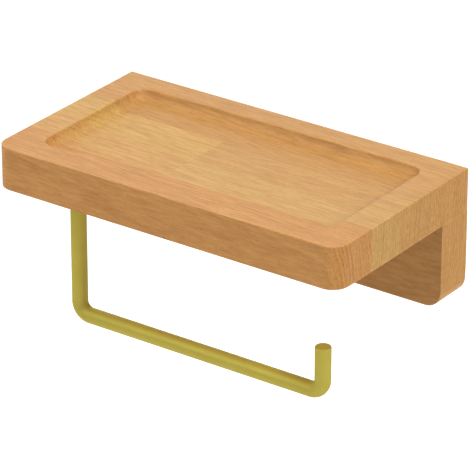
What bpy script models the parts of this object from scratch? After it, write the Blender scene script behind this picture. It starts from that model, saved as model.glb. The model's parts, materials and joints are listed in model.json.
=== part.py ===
"""Toilet paper holder: a beech tray shelf on a beech back rail, with a bent-rod arm screwed into the shelf.

The frame's origin is the centre of the back rail's rear face, which lies against the wall. +X runs along the wall
to the right, +Y points into the wall and +Z is up. All lengths are in metres; MM turns millimetres into metres.
"""

import math

import bmesh
import bpy
from mathutils import Matrix, Vector

MM = 0.001

# Driving dimensions of the woodwork
LENGTH = 200.0 * MM  # along the wall
SHELF_DEPTH = 110.2 * MM  # out from the wall
BOARD = 22.0 * MM  # thickness of the shelf, and of the rail
RAIL_HEIGHT = 44.2 * MM
CORNER_RADIUS = 8.9 * MM  # the shelf's two front corners and the rail's two lower corners
ARRIS = 0.6 * MM  # the slight rounding of the long edges
GAP = 0.3 * MM  # left between neighbouring solids

# The tray routed into the shelf's top
TRAY_DEPTH = 5.0 * MM
TRAY_COVE_RADIUS = 6.0 * MM
TRAY_CORNER_RADIUS = 8.0 * MM
TRAY_SIDE_RIM = 15.8 * MM
TRAY_REAR_RIM = 13.0 * MM
TRAY_FRONT_RIM = 15.0 * MM

# The arm: one bent bar with a threaded stud at its upper end
ROD_RADIUS = 4.0 * MM
ROD_HALF_SPAN = 72.4 * MM  # from the middle to the leg's axis, and to the tip's axis
ROD_FROM_WALL = 80.6 * MM
ROD_BELOW_TOP = 94.2 * MM  # the run's axis, below the shelf's top
ROD_TIP_BELOW_TOP = 69.7 * MM
ROD_BEND_RADIUS = 6.6 * MM  # at the bar's axis
ROD_END_CHAMFER = 0.4 * MM
STUD_RADIUS = 3.0 * MM
STUD_LENGTH = 12.6 * MM
STUD_PITCH = 1.0 * MM
STUD_THREAD_DEPTH = 0.5 * MM
STUD_NECK = 1.6 * MM  # unthreaded, next to the shoulder

# The threaded insert let into the shelf's underside, and the washer under it
INSERT_LENGTH = 12.0 * MM
INSERT_RADIUS = 5.0 * MM
INSERT_THREAD_DEPTH = 0.8 * MM
INSERT_PITCH = 2.4 * MM
INSERT_FLANGE_RADIUS = 6.5 * MM
INSERT_FLANGE = 1.2 * MM
INSERT_BORE_RADIUS = STUD_RADIUS + GAP
WASHER_RADIUS = 6.0 * MM
WASHER_BORE_RADIUS = STUD_RADIUS + GAP
WASHER_THICKNESS = 1.0 * MM

# Dowels between the shelf and the rail
DOWEL_RADIUS = 4.0 * MM
DOWEL_LENGTH = 30.0 * MM
DOWEL_SPACING = 70.0 * MM
DOWEL_IN_SHELF = 12.5 * MM
DOWEL_CHAMFER = 0.8 * MM
DOWEL_FLUTE_DEPTH = 0.35 * MM
DOWEL_FLUTES = 12
DOWEL_END_ROOM = 0.5 * MM

# Keyhole hangers let into the rail's rear face, each with two countersunk screws
HANGER_SPACING = 120.0 * MM
HANGER_HEIGHT = 38.0 * MM
HANGER_WIDTH = 18.0 * MM
HANGER_THICKNESS = 1.5 * MM
HANGER_SETBACK = 0.1 * MM  # behind the wood's face, so that the wood meets the wall
KEYHOLE_HEAD_RADIUS = 5.0 * MM
KEYHOLE_HEAD_DROP = 4.0 * MM  # centre of the round entry, below the hanger's middle
KEYHOLE_SLOT_RADIUS = 2.5 * MM
KEYHOLE_SLOT_RISE = 4.5 * MM  # centre of the slot's round top, above the hanger's middle
POCKET_RADIUS = 6.0 * MM  # room behind the plate for the head of the wall screw
POCKET_DEPTH = 9.0 * MM
HANGER_SCREW_OFFSET = 14.5 * MM
SCREW_LENGTH = 12.0 * MM
SCREW_RADIUS = 1.5 * MM
SCREW_CORE_RADIUS = 1.1 * MM
SCREW_HEAD_RADIUS = 2.8 * MM
SCREW_PITCH = 1.4 * MM
SCREW_POINT = 2.2 * MM
SCREW_PLAIN = 2.6 * MM  # head and unthreaded shank
RECESS_LENGTH = 3.2 * MM  # the cross recess in the screw's head
RECESS_WIDTH = 0.7 * MM
RECESS_DEPTH = 1.1 * MM

# Smoothness of round shapes, in segments
CORNER_SEGMENTS = 10
COVE_SEGMENTS = 6
ARRIS_SEGMENTS = 2
ROD_BEVEL_RESOLUTION = 10  # a curve's bevel has 4 sides and 2 more for each step
BEND_SEGMENTS = 8
HOLE_SEGMENTS = 32
TURNED_STEPS = 24
SCREW_STEPS = 14
WELD = 0.001 * MM
SCREW_MERGE = 0.01 * MM

# Heights that follow from the driving dimensions
RAIL_BOTTOM = -RAIL_HEIGHT / 2
RAIL_TOP = RAIL_HEIGHT / 2
SHELF_UNDERSIDE = RAIL_TOP + GAP
SHELF_TOP = SHELF_UNDERSIDE + BOARD
WASHER_TOP = SHELF_UNDERSIDE - GAP
ROD_SHOULDER = WASHER_TOP - WASHER_THICKNESS - GAP
ROD_RUN = SHELF_TOP - ROD_BELOW_TOP
ROD_TIP = SHELF_TOP - ROD_TIP_BELOW_TOP
SCREW_FACE = -HANGER_SETBACK - 0.05 * MM  # outer face of the screw heads, along Y


# ---------------------------------------------------------------- scene, materials and small helpers


def clear_scene():
    for obj in list(bpy.data.objects):
        bpy.data.objects.remove(obj)


def new_collection(name):
    collection = bpy.data.collections.new(name)
    bpy.context.scene.collection.children.link(collection)
    return collection


def principled(name, colour, roughness, metallic=0.0):
    material = bpy.data.materials.new(name)
    material.use_nodes = True
    shader = material.node_tree.nodes["Principled BSDF"]
    shader.inputs["Base Color"].default_value = (*colour, 1.0)
    shader.inputs["Roughness"].default_value = roughness
    shader.inputs["Metallic"].default_value = metallic
    material.diffuse_color = (*colour, 1.0)
    return material


def link_mesh(name, mesh, collection, material=None):
    obj = bpy.data.objects.new(name, mesh)
    collection.objects.link(obj)
    if material:
        obj.data.materials.clear()
        obj.data.materials.append(material)
    return obj


def object_from_bmesh(name, bm, collection, material=None):
    mesh = bpy.data.meshes.new(name)
    bm.to_mesh(mesh)
    bm.free()
    return link_mesh(name, mesh, collection, material)


def box_bmesh(low, high):
    """A cube primitive stretched to the box from low to high."""
    low, high = Vector(low), Vector(high)
    bm = bmesh.new()
    bmesh.ops.create_cube(bm, size=1.0)
    size = Matrix.Diagonal((*(high - low), 1.0))
    bmesh.ops.transform(bm, matrix=Matrix.Translation((low + high) / 2) @ size, verts=bm.verts)
    return bm


def bevel_where(bm, chosen, radius, segments):
    """Rounds the edges for which chosen(edge) is true."""
    edges = [edge for edge in bm.edges if chosen(edge)]
    bmesh.ops.bevel(
        bm,
        geom=edges,
        offset=radius,
        segments=segments,
        profile=0.5,
        affect="EDGES",
        clamp_overlap=True,
    )


def along(edge, axis):
    direction = edge.verts[1].co - edge.verts[0].co
    return abs(direction[axis]) > 0.999 * direction.length


def edge_at(edge, axis, value):
    """True if both ends of the edge lie on the plane axis = value."""
    return all(abs(vert.co[axis] - value) < WELD for vert in edge.verts)


def cut(target, cutter):
    """Cuts the cutter's shape from the target, and keeps the cutter as a hidden guide."""
    cutter.hide_render = True
    cutter.display_type = "WIRE"
    modifier = target.modifiers.new("cut_" + cutter.name, "BOOLEAN")
    modifier.operation = "DIFFERENCE"
    modifier.solver = "EXACT"
    modifier.object = cutter


def turned(name, profile, collection, material=None, steps=TURNED_STEPS, closed=False):
    """A profile of (radius, height) points, outer side from top to bottom, turned once about Z."""
    mesh = bpy.data.meshes.new(name)
    points = [(radius, 0.0, height) for radius, height in profile]
    edges = [(i, i + 1) for i in range(len(points) - 1)]
    if closed:
        edges.append((len(points) - 1, 0))
    mesh.from_pydata(points, edges, [])
    obj = link_mesh(name, mesh, collection, material)
    screw = obj.modifiers.new("turn", "SCREW")
    screw.axis = "Z"
    screw.angle = 2 * math.pi
    screw.steps = steps
    screw.render_steps = steps
    screw.use_merge_vertices = True
    screw.merge_threshold = SCREW_MERGE
    screw.use_smooth_shade = True
    return obj


def thread_profile(crest, depth, pitch, top, bottom):
    """Ridges of a thread as (radius, height) points, from top down to bottom."""
    turns = int((top - bottom) / pitch)
    points = []
    for turn in range(turns):
        ridge = top - turn * pitch
        points.append((crest - depth, ridge))
        points.append((crest, ridge - 0.4 * pitch))
        points.append((crest, ridge - 0.6 * pitch))
    points.append((crest - depth, top - turns * pitch))
    return points


def cylinder_cutter(name, radius, low, high, centre, collection, along_y=False):
    """A round cutter from low to high along Z, or along Y, through centre."""
    bm = bmesh.new()
    bmesh.ops.create_cone(
        bm,
        cap_ends=True,
        segments=HOLE_SEGMENTS,
        radius1=radius,
        radius2=radius,
        depth=high - low,
    )
    middle = (low + high) / 2
    if along_y:
        bmesh.ops.rotate(bm, matrix=Matrix.Rotation(math.pi / 2, 3, "X"), verts=bm.verts)
        place = Vector((centre[0], middle, centre[1]))
    else:
        place = Vector((centre[0], centre[1], middle))
    bmesh.ops.translate(bm, vec=place, verts=bm.verts)
    return object_from_bmesh(name, bm, collection)


def arc(centre, radius, start, end, segments):
    """Points on an arc, as (x, y), from start to end in degrees."""
    points = []
    for i in range(segments + 1):
        angle = math.radians(start + (end - start) * i / segments)
        points.append((centre[0] + radius * math.cos(angle), centre[1] + radius * math.sin(angle)))
    return points


def slot_outline(x, bottom, top, radius):
    """A slot standing upright, with round ends centred at bottom and top."""
    half = HOLE_SEGMENTS // 2
    return arc((x, top), radius, 0, 180, half) + arc((x, bottom), radius, 180, 360, half)


def keyhole_outline(x):
    """A round entry with a narrower slot rising from it."""
    head = (x, -KEYHOLE_HEAD_DROP)
    meet = math.degrees(math.asin(KEYHOLE_SLOT_RADIUS / KEYHOLE_HEAD_RADIUS))
    entry = arc(head, KEYHOLE_HEAD_RADIUS, 90 + meet, 450 - meet, HOLE_SEGMENTS)
    slot_top = arc((x, KEYHOLE_SLOT_RISE), KEYHOLE_SLOT_RADIUS, 0, 180, HOLE_SEGMENTS // 2)
    return entry + slot_top


def upright_plate(name, outlines, y_low, y_high, collection, material=None):
    """Outlines in the XZ plane, the outer one first, filled as a flat curve and made a mesh."""
    curve = bpy.data.curves.new(name, "CURVE")
    curve.dimensions = "2D"
    curve.fill_mode = "BOTH"
    curve.extrude = (y_high - y_low) / 2
    for outline in outlines:
        spline = curve.splines.new("POLY")
        spline.points.add(len(outline) - 1)
        spline.use_cyclic_u = True
        for point, (x, z) in zip(spline.points, outline):
            point.co = (x, z, 0.0, 1.0)
    flat = bpy.data.objects.new(name + "_outline", curve)
    flat.rotation_euler = (math.pi / 2, 0.0, 0.0)
    flat.location = (0.0, (y_low + y_high) / 2, 0.0)
    return mesh_from_curve(name, flat, collection, material)


def mesh_from_curve(name, curve_object, collection, material=None):
    """The curve's shape as a welded mesh object in the same place; the curve is removed."""
    bpy.context.scene.collection.objects.link(curve_object)
    bpy.context.view_layer.update()
    graph = bpy.context.evaluated_depsgraph_get()
    mesh = bpy.data.meshes.new_from_object(curve_object.evaluated_get(graph))
    bm = bmesh.new()
    bm.from_mesh(mesh)
    bmesh.ops.remove_doubles(bm, verts=bm.verts, dist=WELD)
    bmesh.ops.recalc_face_normals(bm, faces=bm.faces)
    bm.to_mesh(mesh)
    bm.free()
    obj = link_mesh(name, mesh, collection, material)
    obj.matrix_world = curve_object.matrix_world.copy()
    bpy.data.objects.remove(curve_object)
    return obj


# ---------------------------------------------------------------- the woodwork


def tray_cutter(collection):
    """A block with round corners and a coved foot, as wide as the tray."""
    rear = -TRAY_REAR_RIM
    front = -(SHELF_DEPTH - TRAY_FRONT_RIM)
    side = LENGTH / 2 - TRAY_SIDE_RIM
    floor = SHELF_TOP - TRAY_DEPTH
    bm = box_bmesh((-side, front, floor), (side, rear, SHELF_TOP + BOARD))
    bevel_where(bm, lambda edge: along(edge, 2), TRAY_CORNER_RADIUS, CORNER_SEGMENTS)
    bevel_where(bm, lambda edge: edge_at(edge, 2, floor), TRAY_COVE_RADIUS, COVE_SEGMENTS)
    return object_from_bmesh("tray_cutter", bm, collection)


def tray_shelf(parts, cutters, material):
    """The shelf board: round front corners, softened edges, the tray above and the holes below."""
    low = (-LENGTH / 2, -SHELF_DEPTH, SHELF_UNDERSIDE)
    high = (LENGTH / 2, 0.0, SHELF_TOP)
    bm = box_bmesh(low, high)
    bevel_where(
        bm,
        lambda edge: along(edge, 2) and edge_at(edge, 1, -SHELF_DEPTH),
        CORNER_RADIUS,
        CORNER_SEGMENTS,
    )

    def softened(edge):
        level = edge_at(edge, 2, SHELF_TOP) or edge_at(edge, 2, SHELF_UNDERSIDE)
        return level and not edge_at(edge, 1, 0.0)

    bevel_where(bm, softened, ARRIS, ARRIS_SEGMENTS)
    shelf = object_from_bmesh("tray_shelf", bm, parts, material)
    cut(shelf, tray_cutter(cutters))
    for index, x in enumerate(dowel_places()):
        top = SHELF_UNDERSIDE + DOWEL_IN_SHELF + DOWEL_END_ROOM
        radius = DOWEL_RADIUS + GAP
        centre = (x, -BOARD / 2)
        name = f"dowel_hole_shelf_{index}"
        cut(shelf, cylinder_cutter(name, radius, RAIL_TOP - BOARD, top, centre, cutters))
    place = (-ROD_HALF_SPAN, -ROD_FROM_WALL)
    bottom = SHELF_UNDERSIDE - BOARD
    flange_top = SHELF_UNDERSIDE + INSERT_FLANGE + GAP
    insert_top = SHELF_UNDERSIDE + INSERT_LENGTH + 2 * GAP
    counterbore = INSERT_FLANGE_RADIUS + GAP
    cut(shelf, cylinder_cutter("insert_counterbore", counterbore, bottom, flange_top, place, cutters))
    bore = INSERT_RADIUS + GAP
    cut(shelf, cylinder_cutter("insert_bore", bore, bottom, insert_top, place, cutters))
    return shelf


def back_rail(parts, cutters, material):
    """The rail glued under the shelf's rear edge: round lower corners, and recesses for the hangers."""
    low = (-LENGTH / 2, -BOARD, RAIL_BOTTOM)
    high = (LENGTH / 2, 0.0, RAIL_TOP)
    bm = box_bmesh(low, high)
    bevel_where(
        bm,
        lambda edge: along(edge, 1) and edge_at(edge, 2, RAIL_BOTTOM),
        CORNER_RADIUS,
        CORNER_SEGMENTS,
    )

    def softened(edge):
        return edge_at(edge, 1, -BOARD) and not edge_at(edge, 2, RAIL_TOP)

    bevel_where(bm, softened, ARRIS, ARRIS_SEGMENTS)
    rail = object_from_bmesh("back_rail", bm, parts, material)
    for index, x in enumerate(dowel_places()):
        bottom = SHELF_UNDERSIDE + DOWEL_IN_SHELF - DOWEL_LENGTH - DOWEL_END_ROOM
        centre = (x, -BOARD / 2)
        name = f"dowel_hole_rail_{index}"
        cut(rail, cylinder_cutter(name, DOWEL_RADIUS + GAP, bottom, SHELF_TOP, centre, cutters))
    for side, x in hanger_places():
        outer = hanger_outline(x, GAP)
        floor = -HANGER_SETBACK - HANGER_THICKNESS - GAP
        cut(rail, upright_plate(f"hanger_recess_{side}", [outer], floor, BOARD, cutters))
        low_end = -KEYHOLE_HEAD_DROP - GAP
        high_end = KEYHOLE_SLOT_RISE - GAP
        pocket = slot_outline(x, low_end, high_end, POCKET_RADIUS)
        cut(rail, upright_plate(f"screw_pocket_{side}", [pocket], -POCKET_DEPTH, BOARD, cutters))
        for level, z in hanger_screw_levels():
            name = f"pilot_{side}_{level}"
            end = SCREW_FACE - SCREW_LENGTH - 2 * GAP
            hole = cylinder_cutter(name, SCREW_RADIUS + GAP, end, BOARD, (x, z), cutters, True)
            cut(rail, hole)
    return rail


def dowel_places():
    return (-DOWEL_SPACING, 0.0, DOWEL_SPACING)


def dowel(name, x, parts, material):
    """A fluted dowel standing in the shelf and the rail, with chamfered ends."""
    bm = bmesh.new()
    bmesh.ops.create_cone(
        bm,
        cap_ends=True,
        segments=3 * DOWEL_FLUTES,
        radius1=DOWEL_RADIUS,
        radius2=DOWEL_RADIUS,
        depth=DOWEL_LENGTH,
    )
    for vert in bm.verts:
        column = round(math.atan2(vert.co.y, vert.co.x) / (2 * math.pi) * 3 * DOWEL_FLUTES)
        if column % 3 == 0:
            vert.co.xy *= 1.0 - DOWEL_FLUTE_DEPTH / DOWEL_RADIUS
    end_faces = [face for face in bm.faces if abs(face.normal.z) > 0.9]
    inset = bmesh.ops.inset_region(bm, faces=end_faces, thickness=DOWEL_CHAMFER, depth=0.0)
    side_verts = {vert for face in inset["faces"] for vert in face.verts}
    side_verts -= {vert for face in end_faces for vert in face.verts}
    for vert in side_verts:
        vert.co.z -= math.copysign(DOWEL_CHAMFER, vert.co.z)
    obj = object_from_bmesh(name, bm, parts, material)
    obj.location = (x, -BOARD / 2, SHELF_UNDERSIDE + DOWEL_IN_SHELF - DOWEL_LENGTH / 2)
    return obj


# ---------------------------------------------------------------- the arm and what holds it


def arm_route():
    """The bar's axis from the shoulder down, along and up to the tip, as points in the plane of the arm."""
    leg, tip = -ROD_HALF_SPAN, ROD_HALF_SPAN
    bend = ROD_BEND_RADIUS
    route = [(leg, ROD_SHOULDER)]
    route += arc((leg + bend, ROD_RUN + bend), bend, 180, 270, BEND_SEGMENTS)
    route += arc((tip - bend, ROD_RUN + bend), bend, 270, 360, BEND_SEGMENTS)
    route.append((tip, ROD_TIP))
    return route


def bar_mesh(parts, material):
    curve = bpy.data.curves.new("bar", "CURVE")
    curve.dimensions = "3D"
    curve.bevel_depth = ROD_RADIUS
    curve.bevel_resolution = ROD_BEVEL_RESOLUTION
    curve.use_fill_caps = True
    route = arm_route()
    spline = curve.splines.new("POLY")
    spline.points.add(len(route) - 1)
    for point, (x, z) in zip(spline.points, route):
        point.co = (x + ROD_HALF_SPAN, 0.0, z - ROD_SHOULDER, 1.0)
    path = bpy.data.objects.new("bar_route", curve)
    return mesh_from_curve("roll_arm", path, parts, material)


def roll_arm(parts, cutters, material):
    """The bent bar with its stud. Its origin is on the swivel axis, at the shoulder."""
    arm = bar_mesh(parts, material)
    bm = bmesh.new()
    bm.from_mesh(arm.data)
    tip = ROD_TIP - ROD_SHOULDER
    bevel_where(
        bm,
        lambda edge: edge_at(edge, 2, tip) or edge_at(edge, 2, 0.0),
        ROD_END_CHAMFER,
        ARRIS_SEGMENTS,
    )
    bm.to_mesh(arm.data)
    bm.free()
    core = STUD_RADIUS - STUD_THREAD_DEPTH
    profile = [(0.0, STUD_LENGTH), (core - STUD_THREAD_DEPTH, STUD_LENGTH)]
    profile += thread_profile(
        STUD_RADIUS, STUD_THREAD_DEPTH, STUD_PITCH, STUD_LENGTH - STUD_THREAD_DEPTH, STUD_NECK
    )
    profile += [(core, -ROD_RADIUS), (0.0, -ROD_RADIUS)]
    stud = turned("stud", profile, cutters)
    stud.hide_render = True
    stud.display_type = "WIRE"
    join = arm.modifiers.new("stud", "BOOLEAN")
    join.operation = "UNION"
    join.solver = "EXACT"
    join.object = stud
    for obj in (arm, stud):
        obj.location = (-ROD_HALF_SPAN, -ROD_FROM_WALL, ROD_SHOULDER)
    return arm


def threaded_insert(parts, material):
    """A flanged insert with a coarse outer thread, flush with the shelf's underside."""
    top = INSERT_LENGTH
    root = INSERT_RADIUS - INSERT_THREAD_DEPTH
    profile = [(INSERT_BORE_RADIUS, top), (root - INSERT_THREAD_DEPTH / 2, top)]
    profile += thread_profile(
        INSERT_RADIUS, INSERT_THREAD_DEPTH, INSERT_PITCH, top - INSERT_THREAD_DEPTH / 2, INSERT_FLANGE
    )
    profile += [
        (root, INSERT_FLANGE),
        (INSERT_FLANGE_RADIUS, INSERT_FLANGE),
        (INSERT_FLANGE_RADIUS, 0.0),
        (INSERT_BORE_RADIUS, 0.0),
    ]
    insert = turned("threaded_insert", profile, parts, material, closed=True)
    insert.location = (-ROD_HALF_SPAN, -ROD_FROM_WALL, SHELF_UNDERSIDE)
    return insert


def friction_washer(parts, material):
    profile = [
        (WASHER_BORE_RADIUS, 0.0),
        (WASHER_RADIUS, 0.0),
        (WASHER_RADIUS, -WASHER_THICKNESS),
        (WASHER_BORE_RADIUS, -WASHER_THICKNESS),
    ]
    washer = turned("friction_washer", profile, parts, material, closed=True)
    washer.location = (-ROD_HALF_SPAN, -ROD_FROM_WALL, WASHER_TOP)
    return washer


# ---------------------------------------------------------------- the hangers


def hanger_places():
    return (("left", -HANGER_SPACING / 2), ("right", HANGER_SPACING / 2))


def hanger_screw_levels():
    return (("lower", -HANGER_SCREW_OFFSET), ("upper", HANGER_SCREW_OFFSET))


def hanger_outline(x, room=0.0):
    """The plate's outline, or with room around it the outline of its recess."""
    end = (HANGER_HEIGHT - HANGER_WIDTH) / 2
    return slot_outline(x, -end, end, HANGER_WIDTH / 2 + room)


def countersink(name, x, z, collection):
    """A cone that opens the hanger's screw hole towards the wall."""
    widest = SCREW_HEAD_RADIUS + GAP
    narrowest = SCREW_RADIUS + GAP
    depth = widest - narrowest
    bm = bmesh.new()
    bmesh.ops.create_cone(
        bm,
        cap_ends=True,
        segments=HOLE_SEGMENTS,
        radius1=narrowest - GAP,
        radius2=widest + GAP,
        depth=depth + 2 * GAP,
    )
    bmesh.ops.rotate(bm, matrix=Matrix.Rotation(-math.pi / 2, 3, "X"), verts=bm.verts)
    place = Vector((x, -HANGER_SETBACK - depth / 2, z))
    bmesh.ops.translate(bm, vec=place, verts=bm.verts)
    return object_from_bmesh(name, bm, collection)


def hanger(side, x, parts, cutters, material):
    """A keyhole plate: round entry and slot for the wall screw, and two countersunk screw holes."""
    outlines = [hanger_outline(x), keyhole_outline(x)]
    for _, z in hanger_screw_levels():
        outlines.append(arc((x, z), SCREW_RADIUS + GAP, 0, 360, HOLE_SEGMENTS)[:-1])
    inner = -HANGER_SETBACK - HANGER_THICKNESS
    plate = upright_plate(f"hanger_{side}", outlines, inner, -HANGER_SETBACK, parts, material)
    for level, z in hanger_screw_levels():
        cut(plate, countersink(f"countersink_{side}_{level}", x, z, cutters))
    return plate


def screw_profile():
    """A countersunk wood screw, head up, as (radius, height) points from its face down to its point."""
    neck = SCREW_HEAD_RADIUS - SCREW_CORE_RADIUS
    point_start = -SCREW_LENGTH + SCREW_POINT
    profile = [(0.0, 0.0), (SCREW_HEAD_RADIUS, 0.0), (SCREW_CORE_RADIUS, -neck)]
    profile += thread_profile(
        SCREW_RADIUS, SCREW_RADIUS - SCREW_CORE_RADIUS, SCREW_PITCH, -SCREW_PLAIN, point_start
    )
    profile.append((0.0, -SCREW_LENGTH))
    return profile


def hanger_screw(side, level, x, z, parts, cutters, material):
    """One of the hanger's screws, with a cross recess, pointing away from the wall."""
    name = f"screw_{side}_{level}"
    screw = turned(name, screw_profile(), parts, material, SCREW_STEPS)
    screw.rotation_euler = (-math.pi / 2, 0.0, 0.0)
    screw.location = (x, SCREW_FACE, z)
    for index, turn in enumerate((0.0, math.pi / 2)):
        half, width = RECESS_LENGTH / 2, RECESS_WIDTH / 2
        bm = box_bmesh((-half, -RECESS_DEPTH, -width), (half, RECESS_DEPTH, width))
        bmesh.ops.rotate(bm, matrix=Matrix.Rotation(math.pi / 4 + turn, 3, "Y"), verts=bm.verts)
        bmesh.ops.translate(bm, vec=Vector((x, SCREW_FACE, z)), verts=bm.verts)
        cut(screw, object_from_bmesh(f"{name}_recess_{index}", bm, cutters))
    return screw


# ---------------------------------------------------------------- the whole object


def build():
    clear_scene()
    parts = new_collection("toilet_paper_holder")
    cutters = new_collection("cutters")
    beech = principled("beech", (0.68, 0.38, 0.17), 0.5)
    dowel_beech = principled("dowel_beech", (0.60, 0.40, 0.22), 0.7)
    gold = principled("satin_gold", (0.62, 0.50, 0.10), 0.35, 1.0)
    zinc = principled("zinc_steel", (0.62, 0.63, 0.65), 0.35, 1.0)
    brass = principled("insert_brass", (0.66, 0.50, 0.22), 0.35, 1.0)
    nylon = principled("nylon", (0.80, 0.79, 0.74), 0.5)

    tray_shelf(parts, cutters, beech)
    back_rail(parts, cutters, beech)
    for name, x in zip(("dowel_left", "dowel_centre", "dowel_right"), dowel_places()):
        dowel(name, x, parts, dowel_beech)
    roll_arm(parts, cutters, gold)
    threaded_insert(parts, brass)
    friction_washer(parts, nylon)
    for side, x in hanger_places():
        hanger(side, x, parts, cutters, zinc)
        for level, z in hanger_screw_levels():
            hanger_screw(side, level, x, z, parts, cutters, zinc)


build()
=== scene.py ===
# %% [markdown]
# # A toilet paper holder with a tray shelf
#
# The object is small and plain: a thick beech shelf with a shallow tray cut into its top, a beech rail
# that hangs it on the wall, and one bent bar that carries the paper roll. Plain objects are hard to
# render well, because the eye has nothing to look at but the wood, the metal and the small roundings
# where two faces meet. So most of this lesson is about those three things.
#
# The measured model of every piece is loaded first. It fixes where each piece is and how large it is.
# The pieces that show are then modelled again with finer roundings, and every surface gets a material
# made of nodes.

# %% Load the measured frame
import json
import math

import bmesh
import bpy
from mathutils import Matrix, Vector


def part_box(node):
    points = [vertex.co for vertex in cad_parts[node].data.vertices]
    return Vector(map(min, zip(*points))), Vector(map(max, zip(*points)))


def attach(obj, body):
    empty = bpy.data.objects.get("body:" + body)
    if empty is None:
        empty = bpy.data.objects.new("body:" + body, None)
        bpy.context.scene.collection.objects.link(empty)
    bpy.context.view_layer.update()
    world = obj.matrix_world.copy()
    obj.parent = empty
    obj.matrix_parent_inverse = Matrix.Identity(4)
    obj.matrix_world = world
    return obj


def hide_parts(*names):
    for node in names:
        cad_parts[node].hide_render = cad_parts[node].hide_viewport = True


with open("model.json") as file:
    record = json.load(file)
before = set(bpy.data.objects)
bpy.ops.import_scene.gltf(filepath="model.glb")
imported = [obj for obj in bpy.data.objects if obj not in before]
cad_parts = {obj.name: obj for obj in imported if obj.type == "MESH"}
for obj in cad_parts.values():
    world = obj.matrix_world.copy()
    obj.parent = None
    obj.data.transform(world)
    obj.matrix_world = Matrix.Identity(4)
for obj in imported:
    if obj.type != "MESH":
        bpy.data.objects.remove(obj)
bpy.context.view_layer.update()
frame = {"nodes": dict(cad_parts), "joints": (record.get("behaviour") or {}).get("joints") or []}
print("measured pieces:", ", ".join(sorted(frame["nodes"])))

# %% [markdown]
# Lengths are easier to think about in millimetres, while Blender works in metres, so MM turns one into
# the other. The sizes that the new pieces need are read from the measured ones: the shelf's box gives
# its length, depth and thickness, and the rail's box gives the height of the joint between the two.

# %% Read the main sizes from the measured pieces
MM = 0.001
SHELF_LOW, SHELF_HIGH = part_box("tray_shelf")
RAIL_LOW, RAIL_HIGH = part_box("back_rail")
ARM_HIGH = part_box("roll_arm")[1]
SWIVEL = Vector(frame["joints"][0]["pos_m"])
BOARD = SHELF_HIGH.z - SHELF_LOW.z
print(f"shelf {(SHELF_HIGH.x - SHELF_LOW.x) / MM:.1f} x {-SHELF_LOW.y / MM:.1f} x {BOARD / MM:.1f} mm")
print(f"swivel axis at x {SWIVEL.x / MM:.1f}, y {SWIVEL.y / MM:.1f} mm")

# %% [markdown]
# ## Camera, floor and light
#
# Small goods are usually pictured from above and to one side with a long lens, which keeps edges that
# are parallel on the object nearly parallel in the picture. A long lens also has to stand far away. The
# direction to the camera is worked out from two angles: how far it has gone round to the right, and how
# high it stands.

# %% Camera
CAMERA_AROUND = math.radians(35.571)
CAMERA_UP = math.radians(25.714)
CAMERA_DISTANCE = 1.8143
CAMERA_LENS = 287.3
LOOK_AT = Vector((-0.00052, -0.05, 0.00047))

towards_camera = Vector((
    math.sin(CAMERA_AROUND) * math.cos(CAMERA_UP),
    -math.cos(CAMERA_AROUND) * math.cos(CAMERA_UP),
    math.sin(CAMERA_UP),
))
lens = bpy.data.cameras.new("product_camera")
lens.lens = CAMERA_LENS
lens.sensor_width = 36.0
camera = bpy.data.objects.new("product_camera", lens)
camera.location = LOOK_AT + towards_camera * CAMERA_DISTANCE
camera.rotation_euler = towards_camera.to_track_quat("Z", "Y").to_euler()
bpy.context.scene.collection.objects.link(camera)
bpy.context.scene.camera = camera
print("camera stands at", [round(value, 3) for value in camera.location])

# %% [markdown]
# The holder hangs, so the floor lies well below it and only serves as a pale background that throws
# light back up. It is one plane with a plain pale material, wide enough to fill the view from every
# side. So far below, it gets too little of the lamps' light to do its work, so it glows a little of its
# own, and a little more where the camera sees it directly, which keeps the background white. The Light
# Path node tells those rays from the rest.

# %% Floor
FLOOR_LEVEL = -1.6
FLOOR_SIZE = 40.0
FLOOR_GLOW = 0.44
FLOOR_GLOW_SEEN = 0.76


def deselect_all():
    if bpy.context.object and bpy.context.object.mode != "OBJECT":
        bpy.ops.object.mode_set(mode="OBJECT")
    bpy.ops.object.select_all(action="DESELECT")


def set_strength(tree, socket, strength, strength_seen):
    """Sets a strength socket: strength_seen for what the camera sees directly, strength elsewhere."""
    seen = tree.nodes.new("ShaderNodeLightPath").outputs["Is Camera Ray"]
    choice = tree.nodes.new("ShaderNodeMath")
    choice.operation = "MULTIPLY_ADD"
    choice.inputs[1].default_value = strength_seen - strength
    choice.inputs[2].default_value = strength
    tree.links.new(seen, choice.inputs[0])
    tree.links.new(choice.outputs[0], socket)


deselect_all()
bpy.ops.mesh.primitive_plane_add(size=FLOOR_SIZE, location=(0.0, 0.0, FLOOR_LEVEL))
floor = bpy.context.object
floor.name = "studio_floor"
paint = bpy.data.materials.new("pale_floor")
paint.use_nodes = True
paint_shader = paint.node_tree.nodes["Principled BSDF"]
paint_shader.inputs["Base Color"].default_value = (0.80, 0.77, 0.72, 1.0)
paint_shader.inputs["Roughness"].default_value = 0.9
paint_shader.inputs["Specular IOR Level"].default_value = 0.1
paint_shader.inputs["Emission Color"].default_value = (1.0, 1.0, 1.0, 1.0)
set_strength(paint.node_tree, paint_shader.inputs["Emission Strength"], FLOOR_GLOW, FLOOR_GLOW_SEEN)
floor.data.materials.append(paint)
print("floor lies", round(-FLOOR_LEVEL, 2), "m below the rail's middle")

# %% [markdown]
# The light is soft: a white sky fills in from all sides, and five large square lamps shape it. The one
# above is the strongest on the top, so the top comes out brightest. One stands at the front left and
# one high at the right, the right one a little stronger on the end than the front one is on the front,
# which is what makes the three faces of a box read as three faces. The right one is high enough for the
# board to shade the arm's leg from it, so the leg turns darker towards its right side and looks round.
# A low lamp behind grazes the top and draws a fine light line along each soft edge, and a weak one at
# the left lights that side of the arm. The sky, like the floor, is white only to the camera. Colours
# are shown without any film curve, so that a colour in a material is close to the colour in the
# picture.

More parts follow.
